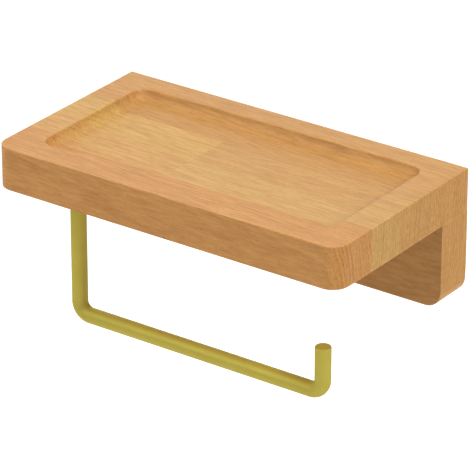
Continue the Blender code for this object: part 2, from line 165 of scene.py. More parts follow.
# %% Lights
bpy.context.scene.view_settings.view_transform = "Standard"
SKY_STRENGTH = 0.286
LAMPS_FACE = Vector((0.0, -0.05, 0.0))

sky = bpy.data.worlds.new("studio_sky")
sky.use_nodes = True
background = sky.node_tree.nodes["Background"]
background.inputs["Color"].default_value = (1.0, 1.0, 1.0, 1.0)
set_strength(sky.node_tree, background.inputs["Strength"], SKY_STRENGTH, 1.0)
bpy.context.scene.world = sky


def softbox(name, place, size, watts):
    """A square lamp at place that faces the object."""
    lamp = bpy.data.lights.new(name, "AREA")
    lamp.shape = "SQUARE"
    lamp.size = size
    lamp.energy = watts
    stand = bpy.data.objects.new(name, lamp)
    stand.location = place
    stand.rotation_euler = (Vector(place) - LAMPS_FACE).to_track_quat("Z", "Y").to_euler()
    stand.visible_camera = False
    bpy.context.scene.collection.objects.link(stand)


softbox("lamp_above", (0.5, 0.1, 3.4), 2.4, 51.0)
softbox("lamp_front", (-0.9, -2.5, 2.2), 2.0, 57.0)
softbox("lamp_right", (2.3, 0.2, 1.4), 1.4, 46.0)
softbox("lamp_behind", (-1.9, 2.4, 1.0), 2.2, 30.0)
softbox("lamp_left", (-2.6, -0.4, 1.2), 1.4, 11.0)
print("five soft lamps and a sky of strength", SKY_STRENGTH)

# %% [markdown]
# ## Tools for modelling
#
# Each wooden piece starts as a cube primitive of the board's size. Its edges are rounded in edit mode,
# shapes are cut from it with Boolean modifiers, and a narrow rounding softens what is left sharp. A few
# small helpers say each of these steps once. Edges are chosen by where they lie, which is safer than
# choosing them by number: numbers change as soon as a shape is cut.

# %% Helpers: start a block, choose edges, round them
NEAR = 0.002 * MM


def finish_primitive(name):
    """Names the new primitive and moves its place and size into its mesh."""
    obj = bpy.context.object
    obj.name = name
    obj.data.name = name
    bpy.ops.object.transform_apply(location=True, rotation=True, scale=True)
    return obj


def add_block(name, low, high):
    deselect_all()
    low, high = Vector(low), Vector(high)
    bpy.ops.mesh.primitive_cube_add(size=1.0, location=(low + high) / 2, scale=high - low)
    return finish_primitive(name)


def add_round(name, radius, start, end, sides=48):
    """A cylinder from start to end."""
    deselect_all()
    start, end = Vector(start), Vector(end)
    turn = (end - start).to_track_quat("Z", "Y").to_euler()
    length = (end - start).length
    middle = (start + end) / 2
    bpy.ops.mesh.primitive_cylinder_add(
        vertices=sides, radius=radius, depth=length, location=middle, rotation=turn
    )
    return finish_primitive(name)


def choose_edges(obj, wanted):
    """In edit mode, selects the edges for which wanted(edge) is true and returns how many there are."""
    bpy.ops.mesh.select_mode(type="EDGE")
    bpy.ops.mesh.select_all(action="DESELECT")
    shape = bmesh.from_edit_mesh(obj.data)
    chosen = [edge for edge in shape.edges if wanted(edge)]
    for edge in chosen:
        edge.select_set(True)
    bmesh.update_edit_mesh(obj.data)
    return len(chosen)


def runs_along(edge, axis):
    direction = edge.verts[1].co - edge.verts[0].co
    return abs(direction[axis]) > 0.999 * direction.length


def lies_at(edge, axis, value):
    return all(abs(corner.co[axis] - value) < NEAR for corner in edge.verts)


def round_edges(obj, wanted, radius, segments):
    """Bevels the chosen edges with a round profile."""
    bpy.ops.object.mode_set(mode="EDIT")
    count = choose_edges(obj, wanted)
    bpy.ops.mesh.bevel(offset=radius, segments=segments, profile=0.5, affect="EDGES")
    bpy.ops.object.mode_set(mode="OBJECT")
    return count


print("helpers for blocks and edges are ready")

# %% [markdown]
# A Boolean modifier takes the shape of one object away from another. The exact solver is slower than
# the fast one and never leaves holes where faces touch. The cutter isn't needed once the modifier is
# applied, so it is removed.
#
# The last step on every hard piece is the same: every edge that is still sharp gets a narrow rounding,
# by a Bevel modifier where all of them are wanted, and a Weighted Normal modifier keeps the large flat
# faces flat in shading, so that only the narrow rounding catches light. An edge counts as sharp from 40
# degrees up.

# %% Helpers: cut one shape from another, soften the arrises
SHARP = math.radians(40.0)


def select_only(obj):
    deselect_all()
    bpy.context.view_layer.objects.active = obj
    obj.select_set(True)


def apply_modifiers(obj):
    select_only(obj)
    for modifier in list(obj.modifiers):
        bpy.ops.object.modifier_apply(modifier=modifier.name)


def cut_away(obj, cutters):
    for cutter in cutters:
        modifier = obj.modifiers.new("cut", "BOOLEAN")
        modifier.operation = "DIFFERENCE"
        modifier.solver = "EXACT"
        modifier.object = cutter
    apply_modifiers(obj)
    for cutter in cutters:
        bpy.data.objects.remove(cutter)


def soften(obj, width, segments=3):
    bevel = obj.modifiers.new("soften", "BEVEL")
    bevel.width = width
    bevel.segments = segments
    bevel.limit_method = "ANGLE"
    bevel.angle_limit = SHARP
    bevel.use_clamp_overlap = True
    apply_modifiers(obj)
    shade_evenly(obj)


def shade_evenly(obj):
    select_only(obj)
    bpy.ops.object.shade_smooth_by_angle(angle=SHARP)
    weighted = obj.modifiers.new("flat_faces", "WEIGHTED_NORMAL")
    weighted.mode = "FACE_AREA"
    weighted.weight = 80
    weighted.keep_sharp = True
    apply_modifiers(obj)


print("helpers for cutting and softening are ready")

# %% [markdown]
# ## The shelf
#
# The real shelf is a 22 mm beech board. Its two front corners are rounded, and a router with a
# round-nosed bit has cut the tray: the bit leaves a floor, a cove all round it, and corners as round as
# the bit's path. The same shape can be made the same way. A second block stands for the space that the
# router empties; its upright edges are rounded for the corners, then its lower edges for the cove, and
# it is taken away from the board.

# %% Shelf board: block and front corners
CORNER = 8.9 * MM
board = add_block("shelf_board", SHELF_LOW, SHELF_HIGH)
front_corners = round_edges(
    board,
    lambda edge: runs_along(edge, 2) and lies_at(edge, 1, SHELF_LOW.y),
    CORNER,
    20,
)
print("rounded", front_corners, "front corners at", CORNER / MM, "mm")

# %% Tray: the space the router empties
TRAY_DEPTH = 5.0 * MM
TRAY_CORNER, TRAY_COVE = 8.0 * MM, 6.0 * MM
SIDE_RIM, FRONT_RIM, REAR_RIM = 15.8 * MM, 15.0 * MM, 13.0 * MM
OVER_BOARD = 20.0 * MM
TRAY_FLOOR = SHELF_HIGH.z - TRAY_DEPTH
TRAY_LOW = Vector((SHELF_LOW.x + SIDE_RIM, SHELF_LOW.y + FRONT_RIM, TRAY_FLOOR))
TRAY_HIGH = Vector((SHELF_HIGH.x - SIDE_RIM, -REAR_RIM, SHELF_HIGH.z + OVER_BOARD))
tray_space = add_block("tray_space", TRAY_LOW, TRAY_HIGH)
round_edges(tray_space, lambda edge: runs_along(edge, 2), TRAY_CORNER, 20)
coved = round_edges(tray_space, lambda edge: lies_at(edge, 2, TRAY_FLOOR), TRAY_COVE, 14)
cut_away(board, [tray_space])
print("tray cut", TRAY_DEPTH / MM, "mm deep, coved along", coved, "edges")

# %% [markdown]
# A hand reaches into the tray every day, so its rim is eased more than the board's other edges. The
# edges of the rim are those that lie at the top but away from the board's sides.

# %% Tray: ease the rim
RIM_EASE = 0.9 * MM
FROM_SIDES = 5.0 * MM


def on_tray_rim(edge):
    inside = all(
        abs(corner.co.x) < SHELF_HIGH.x - FROM_SIDES
        and SHELF_LOW.y + FROM_SIDES < corner.co.y < -FROM_SIDES
        for corner in edge.verts
    )
    return inside and lies_at(edge, 2, SHELF_HIGH.z) and edge.calc_face_angle(0.0) > SHARP


eased = round_edges(board, on_tray_rim, RIM_EASE, 5)
print("eased", eased, "edges of the tray's rim")

# %% [markdown]
# Under the shelf are the holes that nobody sees: three for the dowels that tie it to the rail, and a
# stepped one for the threaded insert that the arm screws into. They are cut round the measured dowels
# and insert, with a little room.

# %% Shelf board: holes for the dowels and the insert
ROOM = 0.3 * MM
BEYOND = 5.0 * MM
DOWEL_RADIUS, INSERT_RADIUS = 4.0 * MM, 5.0 * MM
FLANGE_RADIUS, FLANGE_THICKNESS = 6.5 * MM, 1.2 * MM
DOWEL_END_ROOM = 0.5 * MM
DOWELS = ("dowel_left", "dowel_centre", "dowel_right")


def middle_of(node):
    low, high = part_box(node)
    return (low + high) / 2


def dowel_holes(low_end, high_end):
    holes = []
    for node in DOWELS:
        x, y, _ = middle_of(node)
        holes.append(add_round("hole_" + node, DOWEL_RADIUS + ROOM, (x, y, low_end), (x, y, high_end)))
    return holes


def upright_hole(name, radius, top):
    """A hole round the swivel axis, from under the shelf up to top."""
    return add_round(name, radius, (SWIVEL.x, SWIVEL.y, SHELF_LOW.z - BEYOND), (SWIVEL.x, SWIVEL.y, top))


insert_low, insert_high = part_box("threaded_insert")
dowel_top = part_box("dowel_left")[1].z + DOWEL_END_ROOM
board_holes = dowel_holes(SHELF_LOW.z - BEYOND, dowel_top)
board_holes.append(upright_hole("hole_insert", INSERT_RADIUS + ROOM, insert_high.z + ROOM))
flange_top = insert_low.z + FLANGE_THICKNESS
board_holes.append(upright_hole("hole_flange", FLANGE_RADIUS + ROOM, flange_top + ROOM))
cut_away(board, board_holes)
print("cut", len(board_holes), "holes in the underside")

# %% [markdown]
# Last, the board's sharp edges are rounded, and a Weighted Normal modifier keeps its large faces flat.
# The edges that end at the joint with the rail stay sharp, because a rounding there would draw a groove
# along the joint.

# %% Shelf board: soften the edges, but not along the joint
SOFT = 0.4 * MM


def sharp_off_joint(edge):
    if not edge.is_manifold or edge.calc_face_angle(0.0) < SHARP:
        return False
    ends = (0, SHELF_LOW.x), (0, SHELF_HIGH.x), (1, SHELF_HIGH.y)
    return not (lies_at(edge, 2, SHELF_LOW.z) and any(lies_at(edge, axis, value) for axis, value in ends))


softened = round_edges(board, sharp_off_joint, SOFT, 3)
shade_evenly(board)
print("softened", softened, "board edges; the board has", len(board.data.polygons), "faces")

# %% [markdown]
# ## The back rail
#
# The rail is glued and dowelled under the shelf's rear edge and sanded flush with it, so on the real
# piece the joint can hardly be seen. The rail therefore reaches up until it all but touches the shelf,
# and its upper edges stay sharp, because a bevel there would draw a groove along the joint. Its two
# lower corners are rounded like the shelf's. In its rear face are two shallow recesses for the hanger
# plates, with a deeper pocket behind each for the head of the wall screw.

# %% Rail: block and lower corners
GLUE_LINE = 0.01 * MM
rail = add_block("rail_board", RAIL_LOW, (RAIL_HIGH.x, RAIL_HIGH.y, SHELF_LOW.z - GLUE_LINE))
round_edges(
    rail,
    lambda edge: runs_along(edge, 1) and lies_at(edge, 2, RAIL_LOW.z),
    CORNER,
    20,
)
print("rail stands", round((SHELF_LOW.z - RAIL_LOW.z) / MM, 1), "mm high under the shelf")


# %% Rail: recesses, pockets and holes
def upright_slot(name, x, low_end, high_end, radius, y_low, y_high):
    """A slot with round ends, standing upright in the rail's rear face."""
    block = add_block(name, (x - radius, y_low, low_end - radius), (x + radius, y_high, high_end + radius))
    round_edges(block, lambda edge: runs_along(edge, 1), radius * 0.9999, 16)
    return block


HANGER_RADIUS = 9.0 * MM
POCKET_ENDS = (-4.3 * MM, 4.2 * MM)
POCKET_RADIUS, POCKET_FLOOR = 6.0 * MM, -9.0 * MM
SCREW_HOLE = 1.8 * MM
OUTSIDE = 10.0 * MM
rail_cuts = dowel_holes(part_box("dowel_left")[0].z - DOWEL_END_ROOM, SHELF_HIGH.z)
for node in ("hanger_left", "hanger_right"):
    low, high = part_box(node)
    x = (low.x + high.x) / 2
    ends = (low.z + HANGER_RADIUS, high.z - HANGER_RADIUS)
    rail_cuts.append(upright_slot("recess", x, *ends, HANGER_RADIUS + ROOM, low.y - ROOM, OUTSIDE))
    rail_cuts.append(upright_slot("pocket", x, *POCKET_ENDS, POCKET_RADIUS, POCKET_FLOOR, OUTSIDE))
    for side in ("lower", "upper"):
        screw_low, screw_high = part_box(node.replace("hanger", "screw") + "_" + side)
        z = (screw_low.z + screw_high.z) / 2
        start = (x, screw_low.y - ROOM, z)
        rail_cuts.append(add_round("pilot", SCREW_HOLE, start, (x, OUTSIDE, z), 24))
cut_away(rail, rail_cuts)
print("cut", len(rail_cuts), "holes, recesses and pockets")

# %% [markdown]
# The joint with the shelf must stay sharp, so the rail's edges are chosen once more by place and
# rounded in edit mode, all but those at the top.

# %% Rail: soften the edges, but not along the joint
JOINT_LEVEL = SHELF_LOW.z - GLUE_LINE
NEAR_JOINT = 0.7 * MM


def sharp_and_free(edge):
    if not edge.is_manifold or edge.calc_face_angle(0.0) < SHARP:
        return False
    return not any(abs(corner.co.z - JOINT_LEVEL) < NEAR_JOINT for corner in edge.verts)


softened = round_edges(rail, sharp_and_free, SOFT, 3)
shade_evenly(rail)
print("softened", softened, "rail edges")

# %% [markdown]
# ## The arm
#
# The arm is one round bar: cut square at the tip, bent twice, and turned down to a threaded stud at the
# top of its leg. A bar like this follows its own making. A ring of edges starts at the tip, is extruded
# along each straight stretch, is spun about the centre of each bend, and at the top is extruded in
# small steps that grow and shrink for the thread. Spinning a ring gives a true bend of even thickness,
# which bending a finished cylinder wouldn't.

# %% Helpers: pull and bend a ring of edges
def start_ring(name, radius, centre, sides=64, turn=(0.0, 0.0, 0.0)):
    """An open ring of edges, left selected in edit mode. Unturned, it lies level."""
    deselect_all()
    bpy.ops.mesh.primitive_circle_add(
        vertices=sides, radius=radius, fill_type="NOTHING", location=centre, rotation=turn
    )
    obj = finish_primitive(name)
    bpy.ops.object.mode_set(mode="EDIT")
    bpy.ops.mesh.select_all(action="SELECT")
    return obj


def ring_centre(obj):
    shape = bmesh.from_edit_mesh(obj.data)
    places = [corner.co for corner in shape.verts if corner.select]
    return sum(places, Vector()) / len(places)


def pull_ring(obj, step, radius=None):
    """Extrudes the selected ring by step and, if a radius is given, makes it that wide."""
    bpy.ops.mesh.extrude_region_move(TRANSFORM_OT_translate={"value": step})
    if radius is None:
        return
    shape = bmesh.from_edit_mesh(obj.data)
    centre = ring_centre(obj)
    now = max((corner.co - centre).length for corner in shape.verts if corner.select)
    grow = radius / now
    bpy.ops.transform.resize(value=(grow, grow, grow), center_override=centre)


def close_ends(obj):
    """Fills the two open ends and turns every face outwards."""
    bpy.ops.mesh.select_all(action="SELECT")
    bpy.ops.mesh.remove_doubles(threshold=0.001 * MM)
    bpy.ops.mesh.fill_holes(sides=0)
    bpy.ops.mesh.select_all(action="SELECT")
    bpy.ops.mesh.normals_make_consistent(inside=False)
    bpy.ops.object.mode_set(mode="OBJECT")


print("helpers for rings are ready")

# %% Arm: tip, bends, leg
BAR = 4.0 * MM
BEND = 6.6 * MM
TIP_DROP = 69.7 * MM
TIP_TOP = SHELF_HIGH.z - TIP_DROP
TIP_ROUNDING, SHOULDER_EDGE = 0.45 * MM, 0.4 * MM
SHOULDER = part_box("friction_washer")[0].z - ROOM
TIP = Vector((-SWIVEL.x, SWIVEL.y, TIP_TOP))
arm = start_ring("bent_arm", BAR - TIP_ROUNDING, TIP)
for drop, radius in ((0.06, 3.78), (0.14, 3.93), (0.25, 4.0)):
    pull_ring(arm, (0.0, 0.0, -drop * MM), radius * MM)
straight = TIP_TOP - TIP_ROUNDING - (SWIVEL.z + BEND)
pull_ring(arm, (0.0, 0.0, -straight))
quarter = -math.pi / 2
bend_centre = (TIP.x - BEND, TIP.y, SWIVEL.z + BEND)
bpy.ops.mesh.spin(steps=24, angle=quarter, center=bend_centre, axis=(0.0, 1.0, 0.0))
pull_ring(arm, (-(TIP.x - SWIVEL.x - 2 * BEND), 0.0, 0.0))
bend_centre = (SWIVEL.x + BEND, TIP.y, SWIVEL.z + BEND)
bpy.ops.mesh.spin(steps=24, angle=quarter, center=bend_centre, axis=(0.0, 1.0, 0.0))
leg = SHOULDER - SHOULDER_EDGE - (SWIVEL.z + BEND)
pull_ring(arm, (0.0, 0.0, leg))
print("ring has come to", [round(value / MM, 1) for value in ring_centre(arm)], "mm")

# %% Arm: shoulder and threaded stud
for rise, radius in ((0.3, 3.9), (0.1, 3.6), (0.0, 2.5), (1.6, 2.5)):
    pull_ring(arm, (0.0, 0.0, rise * MM), radius * MM)
THREADS = 10
STUD_RADIUS = 3.0
for turn in range(THREADS):
    for rise, radius in ((0.4, STUD_RADIUS), (0.2, STUD_RADIUS), (0.4, 2.5)):
        pull_ring(arm, (0.0, 0.0, rise * MM), radius * MM)
pull_ring(arm, (0.0, 0.0, 0.5 * MM), 2.0 * MM)
close_ends(arm)
shade_evenly(arm)
stud_top = max(corner.co.z for corner in arm.data.vertices)
print("arm's stud ends at", round(stud_top / MM, 1), "mm, measured", round(ARM_HIGH.z / MM, 1), "mm")

# %% [markdown]
# ## The washer
#
# A thin nylon washer sits between the arm's shoulder and the shelf. It keeps metal from rubbing on wood
# and gives the arm a little friction, so that it stays where it is pushed. It starts as a short
# cylinder, is bored out, and gets soft edges, because a moulded part never has sharp ones.

# %% Washer
washer_low, washer_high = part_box("friction_washer")
washer = add_round(
    "arm_washer",
    washer_high.x - SWIVEL.x,
    (SWIVEL.x, SWIVEL.y, washer_low.z),
    (SWIVEL.x, SWIVEL.y, washer_high.z),
    64,
)
cut_away(washer, [upright_hole("washer_bore", STUD_RADIUS * MM + ROOM, washer_high.z + 1.0 * MM)])
soften(washer, 0.2 * MM)
print("washer has", len(washer.data.polygons), "faces")

# %% [markdown]
# ## The hangers
#
# Two steel plates in the rail's rear face hang the holder on two wall screws. The head of a wall screw
# goes in through the round part of the keyhole, and the plate then drops until the screw's neck sits in
# the narrow part. On the real piece the plate is stamped from sheet. Here the outline is a block with
# round ends, like the recess that it lies in; the keyhole and the screw holes are cut through it, and a
# cone opens each screw hole for the flat head. One plate is made, and the second is a copy of it.
#
# Where so many cuts meet, the Boolean modifier leaves pairs of corners that lie almost on top of each
# other, and the Bevel modifier, which never bevels wider than the shortest edge allows, would then do
# nothing. So corners that are closer than a few hundredths of a millimetre are joined before the edges
# are softened.

# %% Helpers: a cone, a copy with its own mesh, and joined corners
def add_cone(name, start_radius, end_radius, start, end, sides=48):
    deselect_all()
    start, end = Vector(start), Vector(end)
    bpy.ops.mesh.primitive_cone_add(
        vertices=sides,
        radius1=start_radius,
        radius2=end_radius,
        depth=(end - start).length,
        location=(start + end) / 2,
        rotation=(end - start).to_track_quat("Z", "Y").to_euler(),
    )
    return finish_primitive(name)


def copy_piece(original, name, shift):
    select_only(original)
    bpy.ops.object.duplicate(linked=False)
    copy = bpy.context.object
    copy.name = name
    copy.data.name = name
    copy.location = shift
    bpy.ops.object.transform_apply(location=True, rotation=False, scale=False)
    return copy


def open_whole(obj):
    """Opens edit mode with the whole mesh selected."""
    select_only(obj)
    bpy.ops.object.mode_set(mode="EDIT")
    bpy.ops.mesh.select_all(action="SELECT")


def join_close_corners(obj, distance):
    """Joins corners that lie closer together than distance, and returns how many went."""
    before = len(obj.data.vertices)
    open_whole(obj)
    bpy.ops.mesh.remove_doubles(threshold=distance)
    bpy.ops.mesh.delete_loose()
    bpy.ops.object.mode_set(mode="OBJECT")
    return before - len(obj.data.vertices)


# %% Hanger plate: outline, keyhole, screw holes
plate_low, plate_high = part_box("hanger_left")
plate_x = (plate_low.x + plate_high.x) / 2
plate_ends = (plate_low.z + HANGER_RADIUS, plate_high.z - HANGER_RADIUS)
plate = upright_slot("plate_left", plate_x, *plate_ends, HANGER_RADIUS, plate_low.y, plate_high.y)
FRONT, BACK = plate_low.y - 1.0 * MM, plate_high.y + 1.0 * MM
ENTRY_Z, SLOT_TOP_Z = -4.0 * MM, 4.5 * MM
ENTRY_RADIUS, SLOT_RADIUS = 5.0 * MM, 2.5 * MM
CONE_RADII = (1.3 * MM, 3.6 * MM)
CONE_DEPTHS = (-1.8 * MM, 0.5 * MM)
plate_cuts = [
    add_round("entry", ENTRY_RADIUS, (plate_x, FRONT, ENTRY_Z), (plate_x, BACK, ENTRY_Z)),
    upright_slot("slot", plate_x, ENTRY_Z, SLOT_TOP_Z, SLOT_RADIUS, FRONT, BACK),
]
for side in ("lower", "upper"):
    z = middle_of("screw_left_" + side).z
    plate_cuts.append(add_round("hole", SCREW_HOLE, (plate_x, FRONT, z), (plate_x, BACK, z), 40))
    cone_ends = [(plate_x, plate_high.y + depth, z) for depth in CONE_DEPTHS]
    plate_cuts.append(add_cone("countersink", *CONE_RADII, *cone_ends, 40))
cut_away(plate, plate_cuts)
joined = join_close_corners(plate, 0.03 * MM)
soften(plate, 0.08 * MM, 2)
hanger_gap = middle_of("hanger_right") - middle_of("hanger_left")
plates = {"left": plate, "right": copy_piece(plate, "plate_right", hanger_gap)}
print("joined", joined, "close corners")
print("plate has", len(plate.data.polygons), "faces; the hangers are", round(hanger_gap.x / MM), "mm apart")

# %% [markdown]
# Each plate is held by two small countersunk wood screws. A screw is a turned shape like the arm's
# stud, so it is pulled out of a ring in the same way: rim, cone of the head, neck, thread and point.
# The cross in the head is cut with two crossed bars whose lower ends are made narrower, because a real
# driver's recess tapers. The four screws are copies, and each is turned by another angle, as screws end
# up when they are driven by hand.

# %% Wood screw: turned shape
SCREW_AT = middle_of("screw_left_lower")
SCREW_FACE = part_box("screw_left_lower")[1].y
SCREW_HEAD = Vector((SCREW_AT.x, SCREW_FACE, SCREW_AT.z))
screw = start_ring("wood_screw_left_lower", 2.72 * MM, SCREW_HEAD, 40, (math.pi / 2, 0.0, 0.0))
# each row: how far to pull the ring inwards, and its new radius, in millimetres
turned = [(0.08, 2.80), (0.12, 2.74), (1.50, 1.15), (0.90, 1.10)]
turned += [(0.45, 1.50), (0.12, 1.50), (0.45, 1.10), (0.38, 1.10)] * 5
turned += [(0.20, 1.10), (1.40, 0.55), (0.80, 0.08)]
for depth, radius in turned:
    pull_ring(screw, (0.0, -depth * MM, 0.0), radius * MM)
close_ends(screw)
print("screw is", round(sum(depth for depth, _ in turned), 1), "mm long")


# %% Wood screw: cross recess
def recess_bar(angle):
    """A bar across the head that gets narrower towards its lower end."""
    deselect_all()
    centre = SCREW_HEAD - Vector((0.0, 0.3 * MM, 0.0))
    size = Vector((3.9, 1.6, 0.95)) * MM
    bpy.ops.mesh.primitive_cube_add(size=1.0, location=centre, rotation=(0.0, angle, 0.0), scale=size)
    bar = finish_primitive("recess_bar")
    lower_end = centre.y - size.y / 2
    bpy.ops.object.mode_set(mode="EDIT")
    choose_edges(bar, lambda edge: lies_at(edge, 1, lower_end))
    bpy.ops.transform.resize(value=(0.4, 1.0, 0.4), center_override=(centre.x, lower_end, centre.z))
    bpy.ops.object.mode_set(mode="OBJECT")
    return bar


cut_away(screw, [recess_bar(math.radians(45.0)), recess_bar(math.radians(-45.0))])
shade_evenly(screw)
print("screw has", len(screw.data.polygons), "faces")


# %% Wood screws: four copies, each turned its own way
def turn_screw(obj, head, angle):
    open_whole(obj)
    bpy.ops.transform.rotate(value=angle, orient_axis="Y", center_override=head)
    bpy.ops.object.mode_set(mode="OBJECT")


screws = {"left_lower": screw}
for place, angle in (("left_upper", 22.0), ("right_lower", -31.0), ("right_upper", 57.0)):
    shift = middle_of("screw_" + place) - SCREW_AT
    screws[place] = copy_piece(screw, "wood_screw_" + place, shift)
    turn_screw(screws[place], SCREW_HEAD + shift, math.radians(angle))
print("made", len(screws), "screws")

# %% [markdown]
# ## Materials
#
# A material is a small network of nodes. Wiring them by hand in code takes many lines, so a few helpers
# shorten it: `feed` sets or wires one socket, `calc` is one sum, `blend` mixes two colours by a mask
# and `fade` turns a value that runs between two limits into a mask between 0 and 1.
#
# Every pattern is placed by Object coordinates, in millimetres. The pattern then fills the piece like
# real grain fills a board: it runs in at one face and comes out at the next, and no seam shows at an
# edge.

# %% Helpers: wire nodes
def feed(tree, socket, value):
    if isinstance(value, bpy.types.NodeSocket):
        tree.links.new(value, socket)
    else:
        socket.default_value = value


def calc(tree, operation, *values):
    step = tree.nodes.new("ShaderNodeMath")
    step.operation = operation
    for socket, value in zip(step.inputs, values):
        feed(tree, socket, value)
    return step.outputs[0]


def times(tree, first, second):
    return calc(tree, "MULTIPLY", first, second)


def plus(tree, first, second):
    return calc(tree, "ADD", first, second)


def minus(tree, first, second):
    return calc(tree, "SUBTRACT", first, second)


def diagonal(tree, first, second):
    """The length of two steps at right angles taken one after the other."""
    squares = [times(tree, step, step) for step in (first, second)]
    return calc(tree, "SQRT", plus(tree, *squares))


def aim(tree, operation, *values):
    """One step of vector arithmetic."""
    step = tree.nodes.new("ShaderNodeVectorMath")
    step.operation = operation
    for socket, value in zip(step.inputs, values):
        feed(tree, socket, value)
    return step.outputs["Value"] if operation in {"DOT_PRODUCT", "LENGTH"} else step.outputs[0]


def fade(tree, value, start, end, low=0.0, high=1.0):
    step = tree.nodes.new("ShaderNodeMapRange")
    step.interpolation_type = "SMOOTHSTEP"
    for socket, given in zip(step.inputs, (value, start, end, low, high)):
        feed(tree, socket, given)
    return step.outputs[0]


def blend(tree, mask, first, second, mode="MIX"):
    step = tree.nodes.new("ShaderNodeMix")
    step.data_type = "RGBA"
    step.blend_type = mode
    feed(tree, step.inputs[0], mask)
    feed(tree, step.inputs[6], first)
    feed(tree, step.inputs[7], second)
    return step.outputs[2]


def pack_vector(tree, x, y, z):
    step = tree.nodes.new("ShaderNodeCombineXYZ")
    for socket, value in zip(step.inputs, (x, y, z)):
        feed(tree, socket, value)
    return step.outputs[0]


def split_vector(tree, vector):
    step = tree.nodes.new("ShaderNodeSeparateXYZ")
    feed(tree, step.inputs[0], vector)
    return step.outputs


def cloud(tree, vector, stretch=(1.0, 1.0, 1.0), detail=2.0, roughness=0.5, seed=0.0):
    """Noise between 0 and 1. stretch is how many clouds fit in a millimetre along each axis."""
    scaled = aim(tree, "MULTIPLY", vector, stretch)
    step = tree.nodes.new("ShaderNodeTexNoise")
    step.noise_dimensions = "4D"
    feed(tree, step.inputs["Vector"], scaled)
    feed(tree, step.inputs["W"], seed)
    step.inputs["Scale"].default_value = 1.0
    step.inputs["Detail"].default_value = detail
    step.inputs["Roughness"].default_value = roughness
    return step.outputs["Fac"]


def start_group(name, inputs, outputs):
    """A node group with named sockets. Returns it with its inner input and output sockets."""
    group = bpy.data.node_groups.new(name, "ShaderNodeTree")
    for label, kind, value in inputs:
        socket = group.interface.new_socket(name=label, in_out="INPUT", socket_type=kind)
        if value is not None:
            socket.default_value = value
    for label, kind in outputs:
        group.interface.new_socket(name=label, in_out="OUTPUT", socket_type=kind)
    source = group.nodes.new("NodeGroupInput").outputs
    drain = group.nodes.new("NodeGroupOutput").inputs
    return group, source, drain


def set_sockets(tree, node, **values):
    """Sets or wires a node's sockets. Values are given by socket name, with _ for a space."""
    for label, value in values.items():
        feed(tree, node.inputs[label.replace("_", " ")], value)


def place_group(tree, group, **values):
    """Puts a group in a material, sets its sockets and returns its outputs."""
    node = tree.nodes.new("ShaderNodeGroup")
    node.node_tree = group
    set_sockets(tree, node, **values)
    return node.outputs


NUMBER, VECTOR = "NodeSocketFloat", "NodeSocketVector"


def new_material(name):
    """A node material. Returns it, its tree, its Principled shader and the position in millimetres."""
    material = bpy.data.materials.new(name)
    material.use_nodes = True
    tree = material.node_tree
    shader = tree.nodes["Principled BSDF"]
    place = tree.nodes.new("ShaderNodeTexCoord")
    position = aim(tree, "MULTIPLY", place.outputs["Object"], (1000.0, 1000.0, 1000.0))
    return material, tree, shader, position


def multiplied(tree, colour, factors):
    """The colour with each of its channels multiplied, which deepens or lightens it."""
    return blend(tree, 1.0, colour, (*factors, 1.0), "MULTIPLY")


def add_relief(tree, shader, height, strength, depth):
    """Gives the surface a relief that is depth millimetres deep."""
    bump = tree.nodes.new("ShaderNodeBump")
    bump.inputs["Strength"].default_value = strength
    bump.inputs["Distance"].default_value = depth * MM
    feed(tree, bump.inputs["Height"], height)
    feed(tree, shader.inputs["Normal"], bump.outputs[0])


def dress(material, *pieces):
    """Gives pieces one material, in place of what they had."""
    for piece in pieces:
        piece.data.materials.clear()
        piece.data.materials.append(material)
    print(material.name, "has", len(material.node_tree.nodes), "nodes and is on", len(pieces), "pieces")


print("helpers for materials are ready")

# %% [markdown]
# ### Where a point lies in the tree
#
# Wood is layers round a pith. What a face of a board shows depends only on where the board was in the
# tree: cut through the layers it shows straight lines, and cut along them it shows wide arches. So the
# first group turns a point of the board into its place in the tree: how far it is along the grain, how
# far from the pith, and how far round it. The distance from the pith is made to wander a little, and to
# grow along the trunk, because a trunk tapers. That taper is what draws the arches.

# %% Group: place in the tree
# the angle round the pith becomes a length, as it is at this distance from the pith in millimetres
USUAL_RADIUS = 110.0
tree_place, given, result = start_group(
    "place_in_the_tree",
    [
        ("Position", VECTOR, None),
        ("Pith Y", NUMBER, -100.0),
        ("Pith Z", NUMBER, 0.0),
        ("Taper", NUMBER, 0.03),
        ("Wander", NUMBER, 4.0),
        ("Seed", NUMBER, 0.0),
    ],
    [("Tree Position", VECTOR), ("Radius", NUMBER)],
)
along, across, up = split_vector(tree_place, given["Position"])
side = minus(tree_place, across, given["Pith Y"])
rise = minus(tree_place, up, given["Pith Z"])
radius = diagonal(tree_place, side, rise)
around = times(tree_place, calc(tree_place, "ARCTAN2", rise, side), USUAL_RADIUS)
slow = cloud(tree_place, given["Position"], (0.011, 0.03, 0.03), 2.0, 0.4, given["Seed"])
drift = times(tree_place, minus(tree_place, slow, 0.5), given["Wander"])
drift = plus(tree_place, drift, times(tree_place, along, given["Taper"]))
radius = plus(tree_place, radius, drift)
feed(tree_place, result["Tree Position"], pack_vector(tree_place, along, radius, around))
feed(tree_place, result["Radius"], radius)
print("group", tree_place.name, "has", len(tree_place.nodes), "nodes")
